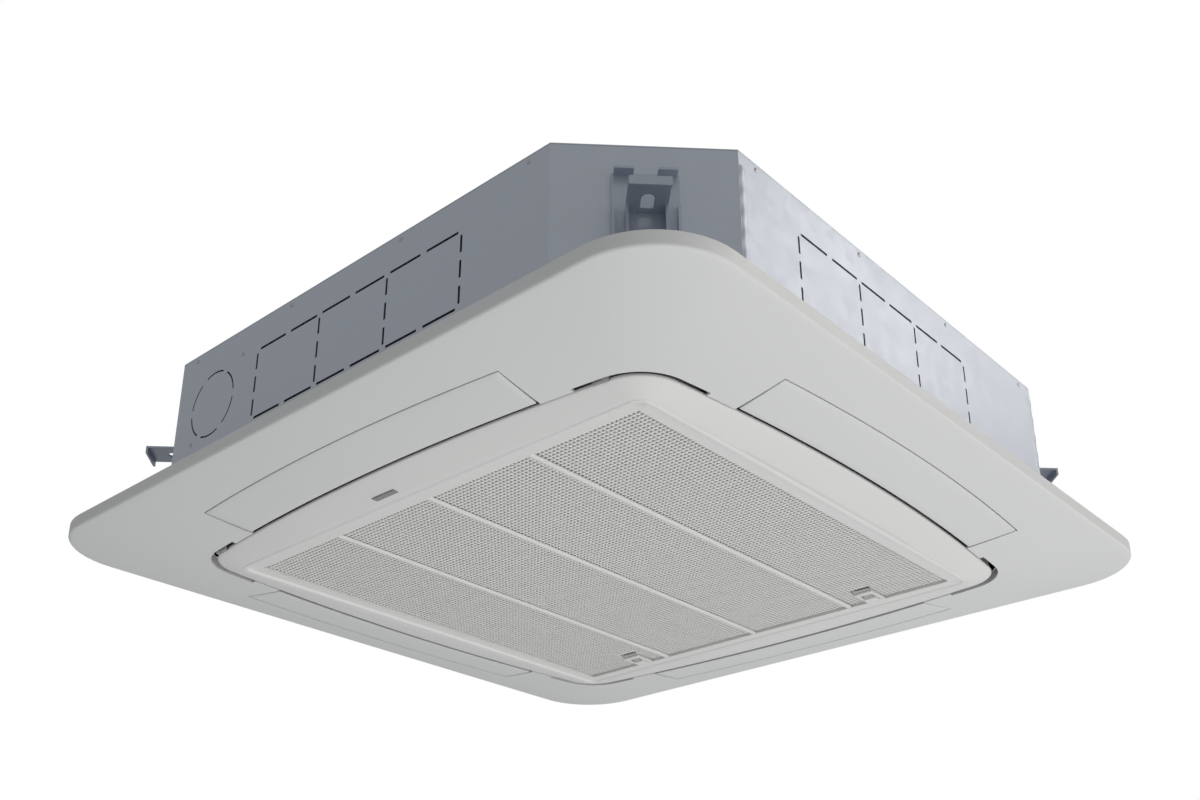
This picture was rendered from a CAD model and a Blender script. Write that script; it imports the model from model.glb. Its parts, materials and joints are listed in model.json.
"""Looks of a ceiling cassette air conditioner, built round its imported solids.

The frame is in metres with +Z up. The origin is on the unit's centre line in the ceiling
plane, the front is -Y and the right side is +X. Sizes of the unit's pieces are millimetres,
and Workshop turns them into metres when it makes a mesh. The finishes, the camera and the
studio are in metres.
"""

import json
import logging
import math
from dataclasses import dataclass, field
from enum import Enum

import bmesh
import bpy
from mathutils import Matrix, Vector

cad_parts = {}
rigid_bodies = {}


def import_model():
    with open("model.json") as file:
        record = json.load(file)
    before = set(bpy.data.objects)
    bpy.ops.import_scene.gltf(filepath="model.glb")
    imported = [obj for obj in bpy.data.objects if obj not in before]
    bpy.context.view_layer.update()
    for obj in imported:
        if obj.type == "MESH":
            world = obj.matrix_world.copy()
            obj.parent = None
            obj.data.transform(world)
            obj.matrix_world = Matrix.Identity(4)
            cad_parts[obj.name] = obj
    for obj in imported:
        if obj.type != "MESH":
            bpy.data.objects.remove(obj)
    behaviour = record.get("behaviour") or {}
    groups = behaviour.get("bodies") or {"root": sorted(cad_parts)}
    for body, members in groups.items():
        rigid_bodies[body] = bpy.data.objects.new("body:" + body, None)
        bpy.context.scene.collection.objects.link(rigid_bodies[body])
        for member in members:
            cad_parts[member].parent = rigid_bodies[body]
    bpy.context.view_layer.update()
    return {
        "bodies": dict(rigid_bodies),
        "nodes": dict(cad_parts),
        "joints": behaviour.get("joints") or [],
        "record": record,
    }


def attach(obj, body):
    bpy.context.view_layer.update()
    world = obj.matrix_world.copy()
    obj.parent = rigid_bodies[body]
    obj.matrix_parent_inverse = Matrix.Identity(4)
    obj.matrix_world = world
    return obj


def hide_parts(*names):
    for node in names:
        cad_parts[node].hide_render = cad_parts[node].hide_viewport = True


LOG = logging.getLogger("cassette")
MM = 0.001
SIDES = ("front", "right", "back", "left")
CUT_LOW = -60.0
CUT_HIGH = -1.0
ROD_SIDES = 24
SOFT_ANGLE = 40.0
SOFT_SEGMENTS = 2

Point2 = tuple[float, float]
Point3 = tuple[float, float, float]
Colour = tuple[float, float, float]


# ------------------------------------------------------------------ shader maths


class Wiring:
    """A node tree, with one method for every node."""

    def __init__(self, tree: bpy.types.NodeTree) -> None:
        """Keeps a tree and empties it."""
        self.tree = tree
        self.tree.nodes.clear()

    def node(
        self, kind: str, settings: dict | None = None, values: dict | None = None
    ) -> bpy.types.Node:
        """Adds a node.

        Args:
            kind: The node's type name.
            settings: Properties of the node, set before its sockets.
            values: Numbers, colours or Signals for its sockets, by name or index.

        Returns:
            The new node.
        """
        made = self.tree.nodes.new(kind)
        for key, value in (settings or {}).items():
            setattr(made, key, value)
        for key, value in (values or {}).items():
            self.feed(made.inputs[key], value)
        return made

    def feed(self, socket: bpy.types.NodeSocket, value: object) -> None:
        """Links a Signal to a socket, or sets a constant on it.

        Args:
            socket: The socket.
            value: A Signal, a number or a colour.
        """
        if isinstance(value, Signal):
            self.tree.links.new(value.socket, socket)
        else:
            socket.default_value = value


class Sheet(Wiring):
    """The node tree of one material, round a principled surface."""

    def __init__(self, name: str) -> None:
        """Makes the material.

        Args:
            name: The material's name.
        """
        self.material = bpy.data.materials.new(name)
        self.material.use_nodes = True
        super().__init__(self.material.node_tree)
        self.surface = self.node("ShaderNodeBsdfPrincipled")
        shown = Signal(self, self.surface.outputs[0])
        self.node("ShaderNodeOutputMaterial", None, {"Surface": shown})

    def paint(self, values: dict) -> None:
        """Sets or links sockets of the principled surface."""
        for key, value in values.items():
            self.feed(self.surface.inputs[key], value)

    def place(self) -> "Signal":
        """The point on the object, in its own metres."""
        return Signal(self, self.node("ShaderNodeTexCoord").outputs["Object"])

    def noise(self, per_metre: float, detail: float = 3.0, stretch: Point3 = (1, 1, 1)) -> "Signal":
        """A soft random field.

        Args:
            per_metre: How many blotches there are in a metre.
            detail: How much finer noise is added.
            stretch: Scale of the field along each axis.

        Returns:
            A value between 0 and 1.
        """
        where = self.node("ShaderNodeMapping", None, {"Vector": self.place(), "Scale": stretch})
        made = self.node(
            "ShaderNodeTexNoise",
            None,
            {"Vector": Signal(self, where.outputs[0]), "Scale": per_metre, "Detail": detail},
        )
        return Signal(self, made.outputs[0])

    def cells(self, per_metre: float) -> "Signal":
        """A value for each of the crystal-like cells of a field."""
        made = self.node("ShaderNodeTexVoronoi", None, {"Vector": self.place(), "Scale": per_metre})
        parts = self.node("ShaderNodeSeparateColor", None, {0: Signal(self, made.outputs["Color"])})
        return Signal(self, parts.outputs[0])

    def axis(self, index: int) -> "Signal":
        """One coordinate of the point on the object, in metres."""
        parts = self.node("ShaderNodeSeparateXYZ", None, {0: self.place()})
        return Signal(self, parts.outputs[index])

    def blend(self, share: "Signal", low: Colour, high: Colour) -> "Signal":
        """A colour between two others.

        Args:
            share: 0 for the low colour and 1 for the high one.
            low: The low colour.
            high: The high colour.

        Returns:
            The colour between them.
        """
        made = self.node(
            "ShaderNodeMix",
            {"data_type": "RGBA"},
            {0: share, 6: (*low, 1.0), 7: (*high, 1.0)},
        )
        return Signal(self, made.outputs[2])

    def bump(self, height: "Signal", strength: float, depth: float) -> "Signal":
        """A surface normal that follows a height.

        Args:
            height: A value of about 0 to 1.
            strength: How much of the bump shows.
            depth: The height of 1, in metres.

        Returns:
            The bent normal.
        """
        made = self.node(
            "ShaderNodeBump", None, {"Strength": strength, "Distance": depth, "Height": height}
        )
        return Signal(self, made.outputs[0])


class Signal:
    """A socket of a shader that can be added, scaled and compared as a number."""

    def __init__(self, wiring: Wiring, socket: bpy.types.NodeSocket) -> None:
        """Wraps an output socket of a node tree."""
        self.wiring = wiring
        self.socket = socket

    def maths(self, operation: str, *values: object) -> "Signal":
        """The result of a Math node on these values.

        Args:
            operation: The node's operation.
            values: Signals or numbers.

        Returns:
            The result.
        """
        made = self.wiring.node(
            "ShaderNodeMath", {"operation": operation}, dict(enumerate(values))
        )
        return Signal(self.wiring, made.outputs[0])

    def __add__(self, other: object) -> "Signal":
        """self + other"""
        return self.maths("ADD", self, other)

    def __radd__(self, other: object) -> "Signal":
        """other + self"""
        return self.maths("ADD", other, self)

    def __sub__(self, other: object) -> "Signal":
        """self - other"""
        return self.maths("SUBTRACT", self, other)

    def __rsub__(self, other: object) -> "Signal":
        """other - self"""
        return self.maths("SUBTRACT", other, self)

    def __mul__(self, other: object) -> "Signal":
        """self * other"""
        return self.maths("MULTIPLY", self, other)

    def __rmul__(self, other: object) -> "Signal":
        """other * self"""
        return self.maths("MULTIPLY", other, self)

    def __gt__(self, other: object) -> "Signal":
        """1 where self is above other, and 0 elsewhere."""
        return self.maths("GREATER_THAN", self, other)

    def fraction(self) -> "Signal":
        """The part after the decimal point."""
        return self.maths("FRACT", self)

    def sine(self) -> "Signal":
        """The sine."""
        return self.maths("SINE", self)

    def clamped(self) -> "Signal":
        """The value kept between 0 and 1."""
        made = self.wiring.node("ShaderNodeClamp", None, {0: self})
        return Signal(self.wiring, made.outputs[0])


# ------------------------------------------------------------------ finishes


def shade(colour: Colour, factor: float) -> Colour:
    """A colour made lighter or darker by a factor."""
    return tuple(min(1.0, channel * factor) for channel in colour)


@dataclass(frozen=True)
class Moulded:
    """Injection-moulded plastic with a fine spark-eroded grain."""

    colour: Colour
    roughness: float = 0.45
    tone: float = 0.02
    grain: float = 0.12
    clouds_per_metre: float = 5.0
    rubs_per_metre: float = 14.0
    rub: float = 0.08
    grains_per_metre: float = 1400.0
    grain_depth: float = 0.0002

    def dress(self, sheet: Sheet) -> None:
        """Paints a sheet with this finish.

        Args:
            sheet: The sheet that is painted.
        """
        clouds = sheet.noise(self.clouds_per_metre, 2.0)
        grains = sheet.noise(self.grains_per_metre, 2.0)
        rubs = sheet.noise(self.rubs_per_metre)
        low, high = shade(self.colour, 1 - self.tone), shade(self.colour, 1 + self.tone)
        sheet.paint({
            "Base Color": sheet.blend(clouds, low, high),
            "Roughness": self.roughness + self.rub * (rubs - 0.5),
            "Normal": sheet.bump(grains, self.grain, self.grain_depth),
        })


@dataclass(frozen=True)
class Galvanised:
    """Zinc-coated sheet with a faint spangle, rolling marks and dull smears."""

    colour: Colour
    metallic: float = 0.3
    roughness: float = 0.42
    spangle: float = 0.03
    flakes_per_metre: float = 70.0
    smears_per_metre: float = 6.0
    marks_per_metre: float = 90.0
    mark: float = 0.05
    mark_depth: float = 0.0004

    def dress(self, sheet: Sheet) -> None:
        """Paints a sheet with this finish.

        Args:
            sheet: The sheet that is painted.
        """
        flakes = sheet.cells(self.flakes_per_metre)
        smear = sheet.noise(self.smears_per_metre, 4.0, (1.0, 1.0, 2.5))
        marks = sheet.noise(self.marks_per_metre, 3.0, (0.15, 0.15, 6.0))
        share = (0.45 * flakes + 0.55 * smear).clamped()
        low, high = shade(self.colour, 1 - self.spangle), shade(self.colour, 1 + self.spangle)
        sheet.paint({
            "Base Color": sheet.blend(share, low, high),
            "Metallic": self.metallic,
            "Roughness": self.roughness + 0.1 * (smear - 0.5) + 0.06 * (flakes - 0.5),
            "Normal": sheet.bump(marks, self.mark, self.mark_depth),
        })


@dataclass(frozen=True)
class Turned:
    """Bare metal with fine machining lines along its length."""

    colour: Colour
    roughness: float = 0.32
    metallic: float = 0.9
    lines_per_metre: float = 260.0
    line: float = 0.08
    line_depth: float = 0.0003
    tarnish_per_metre: float = 30.0

    def dress(self, sheet: Sheet) -> None:
        """Paints a sheet with this finish.

        Args:
            sheet: The sheet that is painted.
        """
        lines = sheet.noise(self.lines_per_metre, 3.0, (1.0, 0.1, 1.0))
        tarnish = sheet.noise(self.tarnish_per_metre, 3.0)
        low, high = shade(self.colour, 0.86), shade(self.colour, 1.08)
        sheet.paint({
            "Base Color": sheet.blend(tarnish, low, high),
            "Metallic": self.metallic,
            "Roughness": self.roughness + 0.16 * (tarnish - 0.4),
            "Normal": sheet.bump(lines, self.line, self.line_depth),
        })


@dataclass(frozen=True)
class Foam:
    """Moulded bead foam, or soft cut foam when dark."""

    colour: Colour
    beads_per_metre: float = 320.0
    roughness: float = 0.86
    bead: float = 0.35
    bead_depth: float = 0.0006

    def dress(self, sheet: Sheet) -> None:
        """Paints a sheet with this finish.

        Args:
            sheet: The sheet that is painted.
        """
        beads = sheet.cells(self.beads_per_metre)
        low, high = shade(self.colour, 0.93), shade(self.colour, 1.04)
        sheet.paint({
            "Base Color": sheet.blend(beads, low, high),
            "Roughness": self.roughness + 0.08 * (beads - 0.5),
            "Normal": sheet.bump(beads, self.bead, self.bead_depth),
        })


@dataclass(frozen=True)
class Finned:
    """Aluminium fins, seen as fine upright lines, on a coil."""

    colour: Colour
    pitch: float = 0.0018
    fin_share: float = 0.55
    metallic: float = 0.7
    roughness: float = 0.4
    groove_tone: float = 0.35
    groove_depth: float = 0.0008

    def dress(self, sheet: Sheet) -> None:
        """Paints a sheet with this finish.

        Args:
            sheet: The sheet that is painted.
        """
        along = (sheet.axis(0) + sheet.axis(1)) * (1 / self.pitch)
        groove = along.fraction() > self.fin_share
        sheet.paint({
            "Base Color": sheet.blend(groove, self.colour, shade(self.colour, self.groove_tone)),
            "Metallic": self.metallic,
            "Roughness": self.roughness + 0.1 * sheet.noise(40.0),
            "Normal": sheet.bump(groove, 0.4, self.groove_depth),
        })


@dataclass(frozen=True)
class Netting:
    """A woven plastic net, drawn as a square weave."""

    colour: Colour
    pitch: float = 0.0022
    roughness: float = 0.75
    thread: float = 0.3
    thread_depth: float = 0.0003

    def dress(self, sheet: Sheet) -> None:
        """Paints a sheet with this finish.

        Args:
            sheet: The sheet that is painted.
        """
        turns = 2 * math.pi / self.pitch
        across, down = (sheet.axis(0) * turns).sine(), (sheet.axis(1) * turns).sine()
        threads = (0.5 + 0.25 * (across + down)).clamped()
        low, high = shade(self.colour, 0.9), shade(self.colour, 1.05)
        sheet.paint({
            "Base Color": sheet.blend(threads, low, high),
            "Roughness": self.roughness + 0.1 * sheet.noise(60.0),
            "Normal": sheet.bump(threads, self.thread, self.thread_depth),
        })


@dataclass(frozen=True)
class Coated:
    """A circuit board's green coating with lighter tracks."""

    colour: Colour
    tracks_per_metre: float = 120.0
    track_tone: float = 1.7
    roughness: float = 0.45

    def dress(self, sheet: Sheet) -> None:
        """Paints a sheet with this finish.

        Args:
            sheet: The sheet that is painted.
        """
        tracks = sheet.noise(self.tracks_per_metre, 0.0, (1.0, 0.25, 1.0)) > 0.55
        sheet.paint({
            "Base Color": sheet.blend(tracks, self.colour, shade(self.colour, self.track_tone)),
            "Roughness": self.roughness - 0.1 * sheet.noise(80.0),
        })


class Finish(Enum):
    """Every finish of the unit."""

    PANEL = Moulded((0.665, 0.672, 0.668), 0.42, 0.012, 0.10)
    GRILLE = Moulded((0.70, 0.702, 0.69), 0.42, 0.012, 0.10)
    LATTICE = Moulded((0.77, 0.77, 0.755), 0.5, 0.015, 0.10)
    POCKET = Moulded((0.6, 0.6, 0.595), 0.55, 0.02, 0.10)
    DUCT = Moulded((0.15, 0.15, 0.152), 0.6, 0.03, 0.15)
    HINGE = Moulded((0.3, 0.3, 0.3), 0.5, 0.02, 0.10)
    BADGE = Moulded((0.24, 0.24, 0.245), 0.3, 0.03, 0.05)
    FAN = Moulded((0.045, 0.046, 0.05), 0.5, 0.05, 0.2)
    RUBBER = Moulded((0.02, 0.02, 0.022), 0.8, 0.1, 0.4)
    HOSE = Moulded((0.4, 0.41, 0.42), 0.6, 0.03, 0.3)
    SHEET = Galvanised((0.545, 0.585, 0.65), 0.8, 0.42, 0.02)
    BRACKET = Galvanised((0.43, 0.47, 0.545), 0.55, 0.34, 0.06)
    PRESSED = Galvanised((0.4, 0.41, 0.43), 0.5, 0.35, 0.02)
    BOLT = Turned((0.5, 0.51, 0.53))
    COPPER = Turned((0.68, 0.31, 0.15))
    BRASS = Turned((0.62, 0.45, 0.18))
    WHITE_FOAM = Foam((0.8, 0.8, 0.79))
    DARK_FOAM = Foam((0.03, 0.03, 0.033), 700.0)
    FINS = Finned((0.6, 0.62, 0.66))
    NET = Netting((0.78, 0.785, 0.775))
    LINER = Foam((0.035, 0.036, 0.04), 500.0)
    BOARD = Coated((0.03, 0.16, 0.08))


class Paints:
    """Makes each finish's material once."""

    def __init__(self) -> None:
        """Starts with no material made."""
        self.made: dict[Finish, bpy.types.Material] = {}

    def get(self, finish: Finish) -> bpy.types.Material:
        """The material of a finish.

        Args:
            finish: The finish.

        Returns:
            The one material that it has.
        """
        if finish not in self.made:
            sheet = Sheet(finish.name.lower())
            finish.value.dress(sheet)
            self.made[finish] = sheet.material
        return self.made[finish]


# ------------------------------------------------------------------ outlines


@dataclass(frozen=True)
class BowedSquare:
    """A square with round corners whose sides bow outward, in millimetres."""

    half: float
    bow: float
    corner: float
    bow_half: float = 222.0
    side_steps: int = 32
    corner_steps: int = 12
    halvings: int = 50

    def lean(self, a: float) -> float:
        """The slope of a side, as an angle, at a distance from its middle."""
        return math.atan(2 * self.bow * a / self.bow_half**2)

    def reach(self, a: float) -> float:
        """How far a side stands out at a distance from its middle."""
        return self.half - self.bow * (a / self.bow_half) ** 2

    def side_end(self) -> float:
        """The distance from a side's middle at which its corner starts.

        Returns:
            The distance, found by halving.
        """
        low, high = 0.0, self.half
        for _ in range(self.halvings):
            a = (low + high) / 2
            across = a - self.corner * math.sin(self.lean(a))
            out = self.reach(a) - self.corner * math.cos(self.lean(a))
            low, high = (low, a) if across > out else (a, high)
        return low

    def points(self, grow: float = 0.0) -> list[Point2]:
        """The outline, anticlockwise from the front side's left end.

        Args:
            grow: How far the outline is moved outward.

        Returns:
            The points, with the same count whatever the sizes are.
        """
        end = self.side_end()
        centre = end - self.corner * math.sin(self.lean(end))
        front = []
        for i in range(self.side_steps + 1):
            a = end * (2 * i / self.side_steps - 1)
            angle = self.lean(a)
            front.append((a + grow * math.sin(angle), -self.reach(a) - grow * math.cos(angle)))
        reach = self.corner + grow
        for i in range(1, self.corner_steps):
            angle = self.lean(end) + i / self.corner_steps * (math.pi / 2 - 2 * self.lean(end))
            front.append((centre + reach * math.sin(angle), -centre - reach * math.cos(angle)))
        outline = []
        for k in range(4):
            outline += [turn(point, k) for point in front]
        return outline


def turn(point: Point2, quarters: int) -> Point2:
    """A point turned anticlockwise about the centre by a number of quarter turns.

    Args:
        point: The point.
        quarters: How many quarter turns.

    Returns:
        The turned point.
    """
    x, y = point
    for _ in range(quarters % 4):
        x, y = -y, x
    return x, y


def between(one: list[Point2], other: list[Point2], share: float) -> list[Point2]:
    """An outline part of the way from one outline to another.

    Args:
        one: The first outline.
        other: An outline of as many points.
        share: 0 for the first and 1 for the other.

    Returns:
        The outline between them.
    """
    return [
        (x + (to_x - x) * share, y + (to_y - y) * share)
        for (x, y), (to_x, to_y) in zip(one, other)
    ]


def circle(radius: float, sides: int) -> list[Point2]:
    """The corners of a regular polygon about the origin."""
    angles = (2 * math.pi * i / sides for i in range(sides))
    return [(radius * math.cos(angle), radius * math.sin(angle)) for angle in angles]


def at_height(outline: list[Point2], z: float) -> list[Point3]:
    """An outline as a ring at one height."""
    return [(x, y, z) for x, y in outline]


# ------------------------------------------------------------------ mesh making


class Form:
    """A mesh being made, in millimetres."""

    def __init__(self) -> None:
        """Starts with no corners and no faces."""
        self.corners: list[Point3] = []
        self.faces: list[tuple[int, ...]] = []

    def add(self, corners: list[Point3], faces: list[tuple[int, ...]]) -> "Form":
        """Adds corners and the faces between them.

        Args:
            corners: The new corners.
            faces: Faces as places among the new corners.

        Returns:
            The form itself.
        """
        start = len(self.corners)
        self.corners += corners
        self.faces += [tuple(start + i for i in face) for face in faces]
        return self

    def loft(self, rings: list[list[Point3]], loop: bool = False) -> "Form":
        """Joins rings of equal count.

        Args:
            rings: The rings in order.
            loop: Whether the last ring joins the first. If not, both ends are capped.

        Returns:
            The form itself.
        """
        count = len(rings[0])
        corners = [point for ring in rings for point in ring]
        faces = []
        for r in range(len(rings) if loop else len(rings) - 1):
            below, above = r * count, (r + 1) % len(rings) * count
            for i in range(count):
                j = (i + 1) % count
                faces.append((below + i, below + j, above + j, above + i))
        if not loop:
            faces.append(tuple(reversed(range(count))))
            faces.append(tuple((len(rings) - 1) * count + i for i in range(count)))
        return self.add(corners, faces)

    def block(self, low: Point3, high: Point3) -> "Form":
        """Adds a box between two corners."""
        (x0, y0, z0), (x1, y1, z1) = low, high
        ring = [(x0, y0), (x1, y0), (x1, y1), (x0, y1)]
        return self.loft([at_height(ring, z0), at_height(ring, z1)])

    def prism(self, outline: list[Point2], z0: float, z1: float) -> "Form":
        """Adds an upright prism on an outline."""
        return self.loft([at_height(outline, z0), at_height(outline, z1)])

    def prism_x(self, outline: list[Point2], x0: float, x1: float) -> "Form":
        """Adds a prism on a (y, z) outline, drawn out along X."""
        return self.loft([[(x, y, z) for y, z in outline] for x in (x0, x1)])

    def wall(self, outer: list[Point2], inner: list[Point2], z0: float, z1: float) -> "Form":
        """Adds an upright wall between two outlines."""
        section = ((outer, z0), (outer, z1), (inner, z1), (inner, z0))
        return self.loft([at_height(outline, z) for outline, z in section], True)

    def rod_x(self, radius: float, x0: float, x1: float, y: float, z: float) -> "Form":
        """Adds a round rod along X."""
        ring = circle(radius, ROD_SIDES)
        return self.prism_x([(y + across, z + up) for across, up in ring], x0, x1)

    def turned(self, quarters: int) -> "Form":
        """A copy turned about the centre line by quarter turns.

        Args:
            quarters: How many quarter turns anticlockwise.

        Returns:
            The copy.
        """
        copy = Form()
        copy.corners = [(*turn((x, y), quarters), z) for x, y, z in self.corners]
        copy.faces = list(self.faces)
        return copy

    def merged(self, other: "Form") -> "Form":
        """Adds another form's faces to this one."""
        return self.add(other.corners, other.faces)

    def all_round(self) -> "Form":
        """The form with its three copies turned by quarter turns.

        Returns:
            A new form of all four.
        """
        whole = Form()
        for k in range(4):
            whole.merged(self.turned(k))
        return whole


class Workshop:
    """Turns forms into dressed objects that ride on the frame's bodies."""

    def __init__(self, paints: Paints) -> None:
        """Keeps the paints that objects are dressed with."""
        self.paints = paints

    def solid(self, form: Form, name: str) -> bpy.types.Object:
        """An object of a form, in metres, with its faces pointing out.

        Args:
            form: The form.
            name: The object's name.

        Returns:
            The object, not yet dressed.
        """
        mesh = bpy.data.meshes.new(name)
        mesh.from_pydata([tuple(c * MM for c in corner) for corner in form.corners], [], form.faces)
        sculpt = bmesh.new()
        sculpt.from_mesh(mesh)
        bmesh.ops.recalc_face_normals(sculpt, faces=sculpt.faces)
        sculpt.to_mesh(mesh)
        sculpt.free()
        made = bpy.data.objects.new(name, mesh)
        bpy.context.scene.collection.objects.link(made)
        return made

    def settle(self, made: bpy.types.Object) -> None:
        """Applies an object's modifiers to its mesh.

        Args:
            made: The object.
        """
        shaped = made.evaluated_get(bpy.context.evaluated_depsgraph_get())
        old = made.data
        made.data = bpy.data.meshes.new_from_object(shaped)
        made.modifiers.clear()
        bpy.data.meshes.remove(old)

    def carve(self, made: bpy.types.Object, cutter: Form) -> None:
        """Cuts a form out of an object.

        Args:
            made: The object that is cut.
            cutter: What is taken away.
        """
        tool = self.solid(cutter, f"{made.name}_cutter")
        step = made.modifiers.new("carve", "BOOLEAN")
        step.operation = "DIFFERENCE"
        step.solver = "EXACT"
        step.object = tool
        self.settle(made)
        bpy.data.objects.remove(tool)

    def soften(self, made: bpy.types.Object, width: float) -> None:
        """Rounds an object's sharp edges by a width in millimetres.

        Args:
            made: The object.
            width: How wide each rounded edge is.
        """
        step = made.modifiers.new("soften", "BEVEL")
        step.width = width * MM
        step.segments = SOFT_SEGMENTS
        step.limit_method = "ANGLE"
        step.angle_limit = math.radians(SOFT_ANGLE)
        self.settle(made)

    def dress(self, made: bpy.types.Object, finish: Finish, sharp: float = 35.0) -> None:
        """Gives an object its material and smooth shading up to an angle in degrees.

        Args:
            made: The object.
            finish: Its finish.
            sharp: The angle from which an edge stays sharp.
        """
        made.data.materials.clear()
        made.data.materials.append(self.paints.get(finish))
        made.data.polygons.foreach_set("use_smooth", [True] * len(made.data.polygons))
        made.data.set_sharp_from_angle(angle=math.radians(sharp))
        made.data.update()

    def hand_over(self, made: bpy.types.Object, body: str, slot: str, *replaced: str) -> None:
        """Puts an object on its body and reports it.

        Args:
            made: The finished object.
            body: The body that it rides on.
            slot: The material slot of the record that it takes its finish from.
            replaced: Names of the solids that it stands for.
        """
        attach(made, body)
        if replaced:
            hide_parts(*replaced)
        LOG.info("%s rides on %s, %d faces", made.name, body, len(made.data.polygons))


# ------------------------------------------------------------------ the panel


@dataclass
class CeilingPanel:
    """The square panel with its lip, curved underside, ducts and corner pockets."""

    half: float = 475.0
    corner: float = 88.0
    lip: float = 15.0
    lip_round: float = 2.6
    lip_wall: float = 5.0
    lip_steps: int = 6
    top_ease: float = 0.3
    rim: float = 25.0
    groove: float = 22.0
    groove_depth: float = 5.0
    skin: float = 3.0
    skin_ease: float = 0.5
    under_steps: int = 14
    over_steps: int = 8
    slope: float = 0.189
    ease: float = 0.000413
    grille: BowedSquare = BowedSquare(359.25, 10.0, 48.0)
    rail: BowedSquare = BowedSquare(339.0, 0.0, 44.0)
    rail_wall: float = 3.0
    rail_low: float = -27.0
    duct_top: float = -12.3
    duct_knee: float = -22.0
    duct_half: float = 233.0
    duct_throat: float = 409.0
    duct_wall: float = 3.0
    duct_lip: float = 4.0
    duct_cover: float = 1.5
    web_split: float = 353.0
    opening_gap: float = 2.0
    pocket_gap: float = 7.5
    pocket_overlap: float = 6.0
    pocket_wall: float = 2.5
    pocket_start: float = 259.0
    pocket_inset: float = 115.0
    ledge_top: float = -17.0
    flap_start: float = 4.0
    flap_width: float = 58.0
    flap_cut: float = 12.0
    slot_gap: float = 1.6
    hinge: Point3 = (298.0, -345.4, -31.0)
    lug_half: float = 3.0
    lug_round: float = 3.3
    boss_at: float = 308.0
    gusset_inset: float = 26.0
    gusset_cut: float = 12.0

    @property
    def opening_inset(self) -> float:
        """Distance from the lip to the grille's outline."""
        return self.half - (self.grille.half - self.grille.bow)

    def depth(self, inset: float) -> float:
        """Height of the underside at a distance in from the lip."""
        return -(self.lip + self.slope * inset - self.ease * inset * inset)

    def outline(self, inset: float) -> list[Point2]:
        """The panel's outline at a distance in from the lip.

        Args:
            inset: The distance in from the lip.

        Returns:
            The outline's points.
        """
        share = inset / self.opening_inset
        bow = self.grille.bow * share
        corner = self.corner + (self.grille.corner - self.corner) * share
        return BowedSquare(self.half - inset + bow, bow, corner).points()

    def inset_at(self, a: float, out: float) -> float:
        """Distance in from the lip, on one side, of a point out from the centre."""
        share = self.grille.bow / self.opening_inset * (1 - (a / self.grille.bow_half) ** 2)
        return (self.half - out) / (1 - share)

    def shell(self) -> Form:
        """The skin and the rim, as one closed band.

        Returns:
            The form.
        """
        last = self.opening_inset - self.opening_gap
        section = [(self.top_ease, 0.0), (0.0, -self.top_ease)]
        for i in range(self.lip_steps + 1):
            angle = i / self.lip_steps * math.pi / 2
            inset = self.lip_round * (1 - math.cos(angle))
            drop = -self.lip + self.lip_round * (1 - math.sin(angle))
            section.append((inset, drop - inset * self.slope))
        start, run = self.lip_round, last - self.skin_ease - self.lip_round
        under = [start + run * i / self.under_steps for i in range(1, self.under_steps + 1)]
        section += [(inset, self.depth(inset)) for inset in under]
        section.append((last, self.depth(last) + self.skin_ease))
        run = last - self.rim
        over = [self.rim + run * i / self.over_steps for i in range(self.over_steps, -1, -1)]
        section += [(inset, self.depth(inset) + self.skin) for inset in over]
        section += [
            (self.rim, 0.0),
            (self.groove, 0.0),
            (self.groove, -self.groove_depth),
            (self.lip_wall, -self.groove_depth),
            (self.lip_wall, 0.0),
        ]
        return Form().loft([at_height(self.outline(inset), z) for inset, z in section], True)

    def corner_band(self, outer: list[Point2], inner: list[Point2]) -> list[Point2]:
        """The band between two outlines round the front right corner.

        Args:
            outer: The outer outline, which says where the band starts and ends.
            inner: The inner outline.

        Returns:
            The band's own outline.
        """
        start = self.pocket_start
        kept = [i for i, (x, y) in enumerate(outer) if x > start and y < -start]
        return [outer[i] for i in kept] + [inner[i] for i in reversed(kept)]

    def slots(self) -> Form:
        """What is cut away round the flaps and in the corner pockets.

        Returns:
            The cutters, taller than the panel.
        """
        slot = AirFlap(panel=self).outline(self.slot_gap, self.flap_cut)
        pocket = self.corner_band(
            self.grille.points(self.pocket_gap), self.grille.points(-self.pocket_overlap)
        )
        one = Form().prism(slot, CUT_LOW, CUT_HIGH).prism(pocket, CUT_LOW, CUT_HIGH)
        return one.all_round()

    def ducts(self) -> Form:
        """Walls of the outlet ducts, and the rail round the intake.

        Returns:
            The form.
        """
        wall = self.duct_wall
        foot = self.grille.half + self.flap_start + self.flap_width + self.slot_gap + wall
        low = self.depth(self.half - foot) + self.duct_cover
        end = self.duct_half + wall
        section = [
            (-foot, low),
            (-foot, self.duct_knee),
            (-self.duct_throat, self.duct_top),
            (-self.duct_throat + self.duct_lip, self.duct_top),
            (-foot + wall, self.duct_knee),
            (-foot + wall, low),
        ]
        one = Form().prism_x(section, -end, end)
        split, rail = -self.web_split, -self.rail.half + 1
        for side in (-1, 1):
            x0, x1 = sorted((side * self.duct_half, side * end))
            one.block((x0, -foot, low), (x1, split, self.duct_top))
            one.block((x0, split - 1, self.rail_low), (x1, rail, self.duct_top))
        walls = one.all_round()
        return walls.wall(self.rail.points(), self.rail_inner(), self.rail_low, self.duct_top)

    def rail_inner(self) -> list[Point2]:
        """The outline of the rail's inner face."""
        wall = self.rail_wall
        return BowedSquare(self.rail.half - wall, 0.0, self.rail.corner - wall).points()

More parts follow.
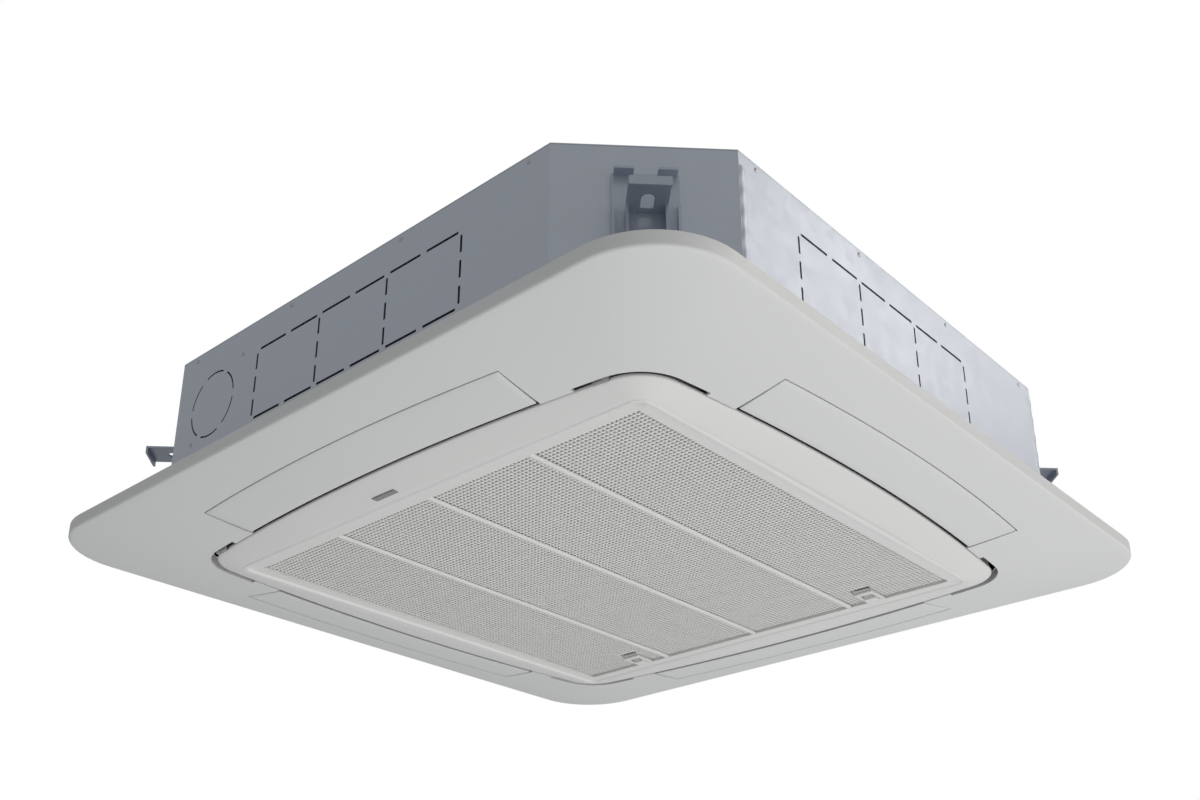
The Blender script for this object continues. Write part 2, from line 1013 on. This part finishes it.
    def pockets(self) -> Form:
        """The recessed ledges at the grille's corners, with their walls.

        Returns:
            The form.
        """
        near = self.pocket_gap + 0.5
        outer = self.grille.points(near + self.pocket_wall)
        wall = self.corner_band(outer, self.grille.points(near))
        shelf = self.corner_band(outer, self.rail_inner())
        low, top = self.depth(self.pocket_inset) + 1.0, self.ledge_top
        one = Form().prism(wall, low, top)
        for plate in (shelf, self.gusset()):
            one.prism(plate, top - self.skin, top)
        return one.all_round()

    def gusset(self) -> list[Point2]:
        """The outline of the corner plate that the panel screw passes through.

        Returns:
            The outline's points.
        """
        reach = 2 * self.boss_at - self.gusset_inset
        edge = self.rail.half - 1.0
        cut = self.gusset_cut
        return [
            (reach - edge, -edge),
            (edge - cut, -edge),
            (edge, -edge + cut),
            (edge, edge - reach),
        ]

    def lugs(self) -> Form:
        """The two lugs that carry the grille's hinge pins.

        Returns:
            The form.
        """
        x, y, z = self.hinge
        wide, deep = self.lug_half, self.lug_round
        form = Form()
        for side in (-1, 1):
            x0, x1 = side * x - wide, side * x + wide
            form.block((x0, y - deep, z), (x1, y + deep, self.ledge_top - 1))
            form.rod_x(deep, x0, x1, y, z)
        return form

    def build(self, shop: Workshop) -> None:
        """Makes the panel's pieces.

        Args:
            shop: Where the pieces are made and handed over.
        """
        skin = shop.solid(self.shell(), "panel_skin")
        shop.carve(skin, self.slots())
        shop.dress(skin, Finish.PANEL, 30.0)
        shop.hand_over(skin, "casing", "panel_plastic", "panel_frame")
        for name, form, finish in (
            ("panel_ducts", self.ducts(), Finish.DUCT),
            ("panel_pockets", self.pockets(), Finish.POCKET),
            ("panel_hinge_lugs", self.lugs(), Finish.HINGE),
        ):
            piece = shop.solid(form, name)
            shop.dress(piece, finish)
            shop.hand_over(piece, "casing", "panel_plastic")


# ------------------------------------------------------------------ the flaps


@dataclass
class AirFlap:
    """One air flap: a curved blade with ears and pivot stubs."""

    panel: CeilingPanel = field(default_factory=CeilingPanel)
    gap: float = 5.4
    width: float = 56.6
    end_inner: float = 221.9
    end_outer: float = 228.5
    thickness: float = 3.0
    along: int = 48
    across: int = 8
    edge_round: float = 0.5
    pivot_out: float = 367.25
    pivot_z: float = -23.5
    stub: float = 2.0
    stub_bury: float = 2.0
    ear_wall: float = 2.0
    ear_length: float = 16.0
    left_end: float = 238.0
    right_end: float = 246.0

    def inner_edge(self, a: float) -> float:
        """How far out the inner edge is at a distance from the flap's middle."""
        return self.panel.grille.reach(a) + self.gap

    def outline(self, grow: float, grow_inner: float, steps: int = 40) -> list[Point2]:
        """The front flap's outline, grown.

        Args:
            grow: How far its outer edge and its ends move out.
            grow_inner: How far its inner edge moves in.
            steps: How many stretches each long edge has.

        Returns:
            The points, outer edge first.
        """
        inner, outer = [], []
        for i in range(steps + 1):
            t = 2 * i / steps - 1
            a, b = t * (self.end_inner + grow), t * (self.end_outer + grow)
            inner.append((a, -(self.inner_edge(a) - grow_inner)))
            outer.append((b, -(self.inner_edge(b) + self.width + grow)))
        return outer + inner[::-1]

    def line(self, v: float, lift: float) -> list[Point3]:
        """One line along the blade.

        Args:
            v: How far across the blade it is, from 0 at the inner edge to 1.
            lift: How far it lies over the underside.

        Returns:
            The line's points.
        """
        points = []
        for i in range(self.along + 1):
            t = 2 * i / self.along - 1
            a = t * (self.end_inner + (self.end_outer - self.end_inner) * v)
            out = self.inner_edge(a) + self.width * v
            points.append((a, -out, self.panel.depth(self.panel.inset_at(a, out)) + lift))
        return points

    def blade(self) -> Form:
        """The curved blade as a closed grid.

        Returns:
            The form.
        """
        shares = [i / self.across for i in range(self.across + 1)]
        lines = [self.line(v, 0.0) for v in shares]
        lines += [self.line(v, self.thickness) for v in reversed(shares)]
        return Form().loft([[line[i] for line in lines] for i in range(self.along + 1)])

    def ears(self) -> Form:
        """The ears and stubs that the blade turns on.

        Returns:
            The form.
        """
        form = Form()
        out, z = self.pivot_out, self.pivot_z
        start = self.end_inner - self.ear_length
        radius = self.stub + self.ear_wall
        low = self.panel.depth(self.panel.half - out) + 1
        for side in (-1, 1):
            a0, a1 = sorted((side * start, side * (self.end_inner - 1)))
            form.block((a0, -out - radius, low), (a1, -out + radius, z))
            form.rod_x(radius, a0, a1, -out, z)
        form.rod_x(self.stub, -self.left_end, -start - self.stub_bury, -out, z)
        form.rod_x(self.stub, start + self.stub_bury, self.right_end, -out, z)
        return form

    def build(self, shop: Workshop) -> None:
        """Makes the four flaps.

        Args:
            shop: Where the pieces are made and handed over.
        """
        for k, side in enumerate(SIDES):
            blade = shop.solid(self.blade().turned(k), f"flap_blade_{side}")
            shop.soften(blade, self.edge_round)
            shop.dress(blade, Finish.PANEL, 50.0)
            shop.hand_over(blade, f"flap_{side}", "panel_plastic", f"air_flap_{side}")
            ears = shop.solid(self.ears().turned(k), f"flap_ears_{side}")
            shop.dress(ears, Finish.PANEL)
            shop.hand_over(ears, f"flap_{side}", "panel_plastic")


# ------------------------------------------------------------------ the grille


@dataclass
class IntakeGrille:
    """The grille: a bowed frame, ribs, a fine lattice and its hinge."""

    outline: BowedSquare = BowedSquare(359.25, 10.0, 48.0)
    edge_z: float = -31.5
    ridge_half: float = 308.0
    ridge_z: float = -40.1
    crown: float = 1.28
    recess_z: float = -37.8
    mesh_half: float = 291.0
    wall: float = 3.0
    rib_pitch: float = 150.0
    rib_width: float = 7.0
    rib_round: float = 0.8
    latch_x: float = 190.0
    latch_width: float = 26.0
    latch_tail: float = 257.0
    latch_travel: float = 8.0
    latch_slot: tuple[float, float, float] = (9.0, 265.0, 288.0)
    lattice_pitch: float = 5.4
    bar: float = 1.8
    border: float = 11.0
    hinge_x: float = 289.0
    hinge_y: float = -345.4
    hinge_z: float = -31.0
    ear_half: float = 5.0
    ear_depth: float = 10.0
    ear_round: float = 2.4
    pin_round: float = 1.6
    badge: Point2 = (-26.0, -326.0)
    badge_half: Point2 = (17.3, 3.8)
    badge_top: float = -36.2

    def drop(self, share: float) -> float:
        """Height of the frame's underside part of the way from its edge to the ridge."""
        fall = self.crown * share - (self.crown - 1) * share * share
        return self.edge_z + (self.ridge_z - self.edge_z) * fall

    def ridge(self) -> list[Point2]:
        """The outline of the raised ridge."""
        return BowedSquare(self.ridge_half, 0.0, 12.0).points()

    def frame(self) -> Form:
        """The bowed frame as a closed band.

        Returns:
            The form.
        """
        edge, ridge = self.outline.points(), self.ridge()
        section: list[tuple[list[Point2], float]] = [
            (edge, self.edge_z + 1.6),
            (self.outline.points(-0.2), self.edge_z + 0.7),
            (self.outline.points(-0.8), self.edge_z + 0.1),
        ]
        for share in (0.05, 0.12, 0.24, 0.38, 0.52, 0.66, 0.78, 0.87):
            section.append((between(edge, ridge, share), self.drop(share)))
        section += [
            (between(edge, ridge, 0.885), self.drop(0.885) + 0.5),
            (between(edge, ridge, 0.91), self.drop(0.9) + 0.5),
            (between(edge, ridge, 0.93), self.drop(0.93) - 0.1),
            (between(edge, ridge, 0.97), self.ridge_z + 0.05),
            (ridge, self.ridge_z),
        ]
        step = self.recess_z - self.ridge_z
        for inset, rise in ((1.5, 0.05), (2.6, 0.5), (3.4, 1.6), (4.2, step)):
            inner = BowedSquare(self.ridge_half - inset, 0.0, 10.0).points()
            section.append((inner, self.ridge_z + rise))
        mesh = BowedSquare(self.mesh_half, 0.0, 4.0).points()
        recess = BowedSquare(self.ridge_half - 4.0, 0.0, 8.0).points()
        back = self.recess_z + self.wall
        section += [(mesh, self.recess_z), (mesh, back), (recess, back)]
        for share in (0.9, 0.5, 0.06):
            section.append((between(edge, ridge, share), self.drop(share) + self.wall))
        section.append((edge, self.edge_z + 2.7))
        return Form().loft([at_height(points, z) for points, z in section], True)

    def openings(self) -> Form:
        """The latch slots and the badge's pocket.

        Returns:
            The cutters, taller than the grille.
        """
        form = Form()
        half, y0, y1 = self.latch_slot
        for side in (-1, 1):
            x = side * self.latch_x
            form.block((x - half, y0, CUT_LOW), (x + half, y1, -20.0))
        (x, y), (wide, deep) = self.badge, self.badge_half
        top = self.badge_top + 0.3
        return form.block((x - wide, y - deep, CUT_LOW), (x + wide, y + deep, top))

    def ribs(self) -> Form:
        """The three ribs across the mesh, each with a rounded underside.

        Returns:
            The form.
        """
        form = Form()
        w, cut = self.rib_width / 2, self.rib_round
        low, high = self.recess_z + 0.2, self.recess_z + self.wall - 0.2
        end = self.mesh_half + 1.4
        for k in (-1, 0, 1):
            x = k * self.rib_pitch
            section = [
                (x - w, high),
                (x - w, low + 0.9),
                (x - w + cut, low + 0.2),
                (x, low),
                (x + w - cut, low + 0.2),
                (x + w, low + 0.9),
                (x + w, high),
            ]
            form.loft([[(px, y, pz) for px, pz in section] for y in (-end, end)])
        return form

    def landings(self) -> Form:
        """The two pads that the latches slide on.

        Returns:
            The form.
        """
        form = Form()
        w = self.latch_width / 2
        low, high = self.recess_z + 0.1, self.recess_z + self.wall - 0.1
        for side in (-1, 1):
            x = side * self.latch_x
            form.block((x - w, self.latch_tail + 1, low), (x + w, self.mesh_half + 2.4, high))
        return form

    def hidden(self) -> Form:
        """The stiffening wall and the hinge ears and pins on the frame's back.

        Returns:
            The form.
        """
        edge, ridge = self.outline.points(), self.ridge()
        low = self.drop(0.52) + 1.5
        form = Form().wall(between(edge, ridge, 0.52), between(edge, ridge, 0.58), low, -23.0)
        x, y, z = self.hinge_x, self.hinge_y, self.hinge_z
        ear = self.ear_half
        for side in (-1, 1):
            x0, x1 = sorted((side * (x - ear), side * (x + ear)))
            p0, p1 = sorted((side * (x + ear - 1), side * (x + 12.5)))
            form.block((x0, y, z - 0.4), (x1, y + self.ear_depth, z + 1.9))
            form.rod_x(self.ear_round, x0, x1, y, z)
            form.rod_x(self.pin_round, p0, p1, y, z)
        return form

    def free_spans(self, at: float, along_x: bool) -> list[tuple[float, float]]:
        """Where a lattice bar runs, with the latches' places left open.

        Args:
            at: The bar's place across its run.
            along_x: Whether the bar runs along X.

        Returns:
            The start and end of each stretch.
        """
        end = self.mesh_half + 2
        keep = self.latch_width / 2 + 2
        start = self.latch_tail - self.latch_travel - 1
        if along_x and at >= start:
            inner, outer = self.latch_x - keep, self.latch_x + keep
            return [(-end, -outer), (-inner, inner), (outer, end)]
        if not along_x and abs(abs(at) - self.latch_x) < keep:
            return [(-end, start)]
        return [(-end, end)]

    def lattice(self) -> Form:
        """The fine grid of bars, and the border that carries it.

        Returns:
            The form.
        """
        low = self.recess_z + self.wall + 0.3
        form = Form()
        count = int(2 * self.mesh_half / self.lattice_pitch)
        half = self.bar / 2
        for i in range(count):
            at = (i - (count - 1) / 2) * self.lattice_pitch
            for start, end in self.free_spans(at, True):
                form.block((start, at - half, low), (end, at + half, low + 2.4))
            for start, end in self.free_spans(at, False):
                form.block((at - half, start, low + 0.7), (at + half, end, low + 2.8))
        outer = BowedSquare(self.mesh_half + self.border, 0.0, 4.0).points()
        inner = BowedSquare(self.mesh_half, 0.0, 3.0).points()
        return form.wall(outer, inner, low, low + 3.0)

    def build(self, shop: Workshop) -> None:
        """Makes the grille's pieces.

        Args:
            shop: Where the pieces are made and handed over.
        """
        frame = shop.solid(self.frame(), "grille_rim")
        pads = shop.solid(self.landings(), "grille_pads")
        cutters = self.openings()
        shop.carve(frame, cutters)
        shop.carve(pads, cutters)
        shop.soften(pads, 0.4)
        for piece in (frame, pads):
            shop.dress(piece, Finish.GRILLE, 38.0)
        shop.hand_over(frame, "grille", "panel_plastic", "grille_frame")
        shop.hand_over(pads, "grille", "panel_plastic")
        for name, form, finish in (
            ("grille_ribs", self.ribs(), Finish.GRILLE),
            ("grille_back_wall", self.hidden(), Finish.HINGE),
        ):
            piece = shop.solid(form, name)
            shop.dress(piece, finish, 50.0)
            shop.hand_over(piece, "grille", "panel_plastic")
        lattice = shop.solid(self.lattice(), "grille_grid")
        shop.dress(lattice, Finish.LATTICE, 30.0)
        shop.hand_over(lattice, "grille", "grille_plastic", "grille_lattice")


# ------------------------------------------------------------------ the casing


@dataclass
class CasingTrim:
    """Small things on the casing: screws and the folded seams at its corners."""

    half: float = 420.0
    chamfer: float = 122.0
    top: float = 184.0
    bottom: float = 2.0
    seam_width: float = 10.0
    seam_gap: float = 0.6
    seam_steps: int = 36
    clinch_pitch: float = 23.0
    clinch_rise: float = 1.1
    screw_radius: float = 2.6
    screw_rise: float = 1.1
    screw_sides: int = 16
    edge_drop: float = 7.0
    edge_screws: tuple[float, ...] = (-270.0, -90.0, 90.0, 270.0)
    front_screws: tuple[Point2, ...] = ((-175.0, 150.0), (-262.0, 66.0))

    def screw(self, x: float, z: float) -> Form:
        """A pan-head screw on the front face.

        Args:
            x: Its place across the face.
            z: Its height.

        Returns:
            The form.
        """
        rings = []
        for share in (1.0, 0.98, 0.8, 0.45):
            ring = circle(self.screw_radius * share, self.screw_sides)
            out = -self.half - self.screw_rise * math.sqrt(1 - (share * 0.98) ** 2)
            rings.append([(x + across, out, z + up) for across, up in ring])
        base = [(px, -self.half + 0.2, pz) for px, _, pz in rings[0]]
        return Form().loft([base] + rings)

    def screws(self) -> Form:
        """The screws along the top edge, and those beside the knockouts.

        Returns:
            The form.
        """
        edge = Form()
        for x in self.edge_screws:
            edge.merged(self.screw(x, self.top - self.edge_drop))
        form = edge.all_round()
        for x, z in self.front_screws:
            form.merged(self.screw(x, z))
        return form

    def seams(self) -> Form:
        """The folded laps at both ends of the right and left faces, with their clinch marks.

        Returns:
            The form.
        """
        form = Form()
        end = self.half - self.chamfer
        y0, y1 = -end + self.seam_gap, -end + self.seam_width
        low, high = self.bottom + 2, self.top - 16
        for side in (-1, 1):
            rings = []
            for i in range(self.seam_steps + 1):
                z = low + (high - low) * i / self.seam_steps
                wave = 0.55 + 0.45 * math.cos(2 * math.pi * z / self.clinch_pitch)
                out = self.half + 0.25 + self.clinch_rise * wave
                fold = y1 - 2.5 - 2.0 * wave
                section = ((self.half, y0), (out, y0 + 1.2), (out, fold), (self.half, y1))
                rings.append([(x, -side * y, z) for x, y in section])
            lap = Form().loft(rings)
            form.merged(lap).merged(lap.turned(2))
        return form

    def build(self, shop: Workshop) -> None:
        """Makes the casing's small pieces.

        Args:
            shop: Where the pieces are made and handed over.
        """
        screws = shop.solid(self.screws(), "casing_screws")
        shop.dress(screws, Finish.BOLT, 50.0)
        shop.hand_over(screws, "casing", "bolt_steel")
        seams = shop.solid(self.seams(), "casing_seams")
        shop.dress(seams, Finish.SHEET, 60.0)
        shop.hand_over(seams, "casing", "zinc_sheet")


# ------------------------------------------------------------------ solids that stay


class KeptSolids:
    """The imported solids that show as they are, each with its finish."""

    FINISHES: dict[str, Finish] = {
        "panel_frame": Finish.PANEL,
        "panel_seal": Finish.DARK_FOAM,
        "air_flap": Finish.PANEL,
        "flap_motor": Finish.PRESSED,
        "panel_screw": Finish.BOLT,
        "grille_frame": Finish.GRILLE,
        "grille_lattice": Finish.LATTICE,
        "grille_latch": Finish.GRILLE,
        "blank_badge": Finish.BADGE,
        "air_filter": Finish.NET,
        "casing": Finish.SHEET,
        "insulation_liner": Finish.LINER,
        "pipe_cover_plate": Finish.SHEET,
        "cable_bush": Finish.RUBBER,
        "hanger_bracket": Finish.BRACKET,
        "heat_exchanger": Finish.FINS,
        "coil_end_plate": Finish.PRESSED,
        "gas_pipe": Finish.COPPER,
        "liquid_pipe": Finish.COPPER,
        "gas_flare_nut": Finish.BRASS,
        "liquid_flare_nut": Finish.BRASS,
        "drain_pan": Finish.WHITE_FOAM,
        "drain_bung": Finish.RUBBER,
        "drain_pump": Finish.FAN,
        "pump_impeller": Finish.LATTICE,
        "pump_bracket": Finish.PRESSED,
        "float_switch": Finish.LATTICE,
        "float": Finish.WHITE_FOAM,
        "drain_hose": Finish.HOSE,
        "drain_socket": Finish.HOSE,
        "bell_mouth": Finish.FAN,
        "control_box": Finish.PRESSED,
        "circuit_board": Finish.BOARD,
        "terminal_block": Finish.RUBBER,
        "fan_wheel": Finish.FAN,
        "fan_motor": Finish.PRESSED,
        "motor_shaft": Finish.BOLT,
        "fan_washer": Finish.BOLT,
        "fan_nut": Finish.BOLT,
        "motor_mount": Finish.RUBBER,
    }

    def finish_of(self, node: str) -> Finish:
        """The finish whose key is the longest start of the node's name."""
        fitting = [key for key in self.FINISHES if node.startswith(key)]
        return self.FINISHES[max(fitting, key=len)]

    def dress(self, nodes: dict[str, bpy.types.Object], paints: Paints) -> None:
        """Paints every solid of the frame.

        Args:
            nodes: The frame's solids by name.
            paints: The materials.
        """
        for name, solid in nodes.items():
            finish = self.finish_of(name)
            solid.data.materials.clear()
            solid.data.materials.append(paints.get(finish))
            LOG.info("%s is dressed as %s", name, finish.name.lower())


# ------------------------------------------------------------------ camera and studio


@dataclass(frozen=True)
class PhotoCamera:
    """The camera that fits the photograph, with its aim at the frame's origin."""

    azimuth: float = 41.2958
    elevation: float = -22.8508
    distance: float = 1.639568
    roll: float = -0.26994
    focal_px: float = 1357.558
    centre_px: Point2 = (610.531, 545.864)
    frame_px: Point2 = (1200.0, 800.0)
    sensor_mm: float = 36.0

    def build(self) -> None:
        """Makes the camera and gives it to the scene."""
        a, e, roll = (math.radians(v) for v in (self.azimuth, self.elevation, self.roll))
        back = Vector((math.sin(a) * math.cos(e), -math.cos(a) * math.cos(e), math.sin(e)))
        level = (-back).cross(Vector((0, 0, 1))).normalized()
        upright = level.cross(-back)
        right = level * math.cos(roll) + upright * math.sin(roll)
        up = upright * math.cos(roll) - level * math.sin(roll)
        data = bpy.data.cameras.new("photo_camera")
        width, height = self.frame_px
        data.sensor_width = self.sensor_mm
        data.lens = self.sensor_mm * self.focal_px / width
        data.shift_x = (width / 2 - self.centre_px[0]) / width
        data.shift_y = (self.centre_px[1] - height / 2) / width
        data.clip_start = 0.05
        made = bpy.data.objects.new("photo_camera", data)
        turned = Matrix((right, up, back)).transposed().to_4x4()
        made.matrix_world = Matrix.Translation(back * self.distance) @ turned
        bpy.context.scene.collection.objects.link(made)
        bpy.context.scene.camera = made


@dataclass(frozen=True)
class Studio:
    """A pale floor, an even sky, two lights from the right and a wide one from below."""

    ambient: float = 0.40
    sky_colour: Colour = (0.97, 0.985, 1.0)
    side_strength: float = 1.45
    side_from: Point3 = (1.0, 0.55, -0.2)
    side_angle: float = 60.0
    side_colour: Colour = (1.0, 0.965, 0.93)
    high_strength: float = 0.19
    high_from: Point3 = (0.42, 0.72, 0.54)
    high_angle: float = 20.0
    high_colour: Colour = (1.0, 0.95, 0.89)
    below_power: float = 30.0
    below_size: float = 2.6
    below_at: Point3 = (0.9, 0.4, -1.9)
    floor_z: float = -3.2
    floor_half: float = 9.0
    floor_colour: Colour = (0.8, 0.8, 0.8)

    def white_for_camera(
        self, wiring: Wiring, plain: bpy.types.Node, white: bpy.types.Node
    ) -> Signal:
        """A shader that looks white to the camera and through glass, and is plain to the rest.

        Args:
            wiring: The node tree that both shaders are in.
            plain: The shader that lights the unit.
            white: The shader that shows.

        Returns:
            The shader that joins them.
        """
        path = wiring.node("ShaderNodeLightPath")
        camera = Signal(wiring, path.outputs["Is Camera Ray"])
        glass = Signal(wiring, path.outputs["Is Transmission Ray"])
        shares = {
            0: camera.maths("MAXIMUM", camera, glass),
            1: Signal(wiring, plain.outputs[0]),
            2: Signal(wiring, white.outputs[0]),
        }
        return Signal(wiring, wiring.node("ShaderNodeMixShader", None, shares).outputs[0])

    def sky(self) -> None:
        """Makes the world: an even light that looks white to the camera."""
        world = bpy.data.worlds.new("sky")
        world.use_nodes = True
        wiring = Wiring(world.node_tree)
        lit = {"Color": (*self.sky_colour, 1.0), "Strength": self.ambient}
        seen = {"Color": (1.0, 1.0, 1.0, 1.0), "Strength": 1.0}
        plain, white = (wiring.node("ShaderNodeBackground", None, v) for v in (lit, seen))
        shown = self.white_for_camera(wiring, plain, white)
        wiring.node("ShaderNodeOutputWorld", None, {"Surface": shown})
        bpy.context.scene.world = world

    def floor(self) -> None:
        """Makes the pale floor, far below the unit."""
        mesh = bpy.data.meshes.new("floor")
        h, z = self.floor_half, self.floor_z
        mesh.from_pydata([(-h, -h, z), (h, -h, z), (h, h, z), (-h, h, z)], [], [(0, 1, 2, 3)])
        made = bpy.data.objects.new("floor", mesh)
        bpy.context.scene.collection.objects.link(made)
        paint = bpy.data.materials.new("floor")
        paint.use_nodes = True
        wiring = Wiring(paint.node_tree)
        plain = wiring.node("ShaderNodeBsdfDiffuse", None, {"Color": (*self.floor_colour, 1.0)})
        shown = self.white_for_camera(wiring, plain, wiring.node("ShaderNodeEmission"))
        wiring.node("ShaderNodeOutputMaterial", None, {"Surface": shown})
        mesh.materials.append(paint)

    def distant(
        self, name: str, strength: float, direction: Point3, angle: float, colour: Colour
    ) -> None:
        """Makes a soft distant light.

        Args:
            name: The light's name.
            strength: Its strength.
            direction: Where it comes from.
            angle: How wide it looks, in degrees.
            colour: Its colour.
        """
        data = bpy.data.lights.new(name, "SUN")
        data.energy = strength
        data.angle = math.radians(angle)
        data.color = colour
        made = bpy.data.objects.new(name, data)
        made.rotation_mode = "QUATERNION"
        made.rotation_quaternion = Vector(direction).to_track_quat("Z", "Y")
        bpy.context.scene.collection.objects.link(made)

    def below(self) -> None:
        """Makes the wide light that lies below the unit and faces up."""
        data = bpy.data.lights.new("below_light", "AREA")
        data.energy = self.below_power
        data.size = self.below_size
        made = bpy.data.objects.new("below_light", data)
        made.rotation_euler = (math.pi, 0.0, 0.0)
        made.location = self.below_at
        made.visible_camera = False
        bpy.context.scene.collection.objects.link(made)

    def build(self) -> None:
        """Makes the whole studio."""
        self.sky()
        self.floor()
        self.distant(
            "side_light", self.side_strength, self.side_from, self.side_angle, self.side_colour
        )
        self.distant(
            "high_light", self.high_strength, self.high_from, self.high_angle, self.high_colour
        )
        self.below()
        bpy.context.scene.view_settings.view_transform = "Standard"


# ------------------------------------------------------------------ all together


def clear_scene() -> None:
    """Removes what a new file holds."""
    for made in list(bpy.data.objects):
        bpy.data.objects.remove(made)


def corners(bounds: tuple[Vector, Vector]) -> list[list[float]]:
    """A box as plain lists."""
    return [list(corner) for corner in bounds]


def main() -> None:
    """Builds the camera, the frame, the dressed pieces and the studio."""
    logging.basicConfig(level=logging.INFO, format="%(name)s: %(message)s")
    clear_scene()
    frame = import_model()
    PhotoCamera().build()
    paints = Paints()
    shop = Workshop(paints)
    KeptSolids().dress(frame["nodes"], paints)
    CeilingPanel().build(shop)
    AirFlap().build(shop)
    IntakeGrille().build(shop)
    CasingTrim().build(shop)
    Studio().build()


if __name__ == "__main__":
    main()
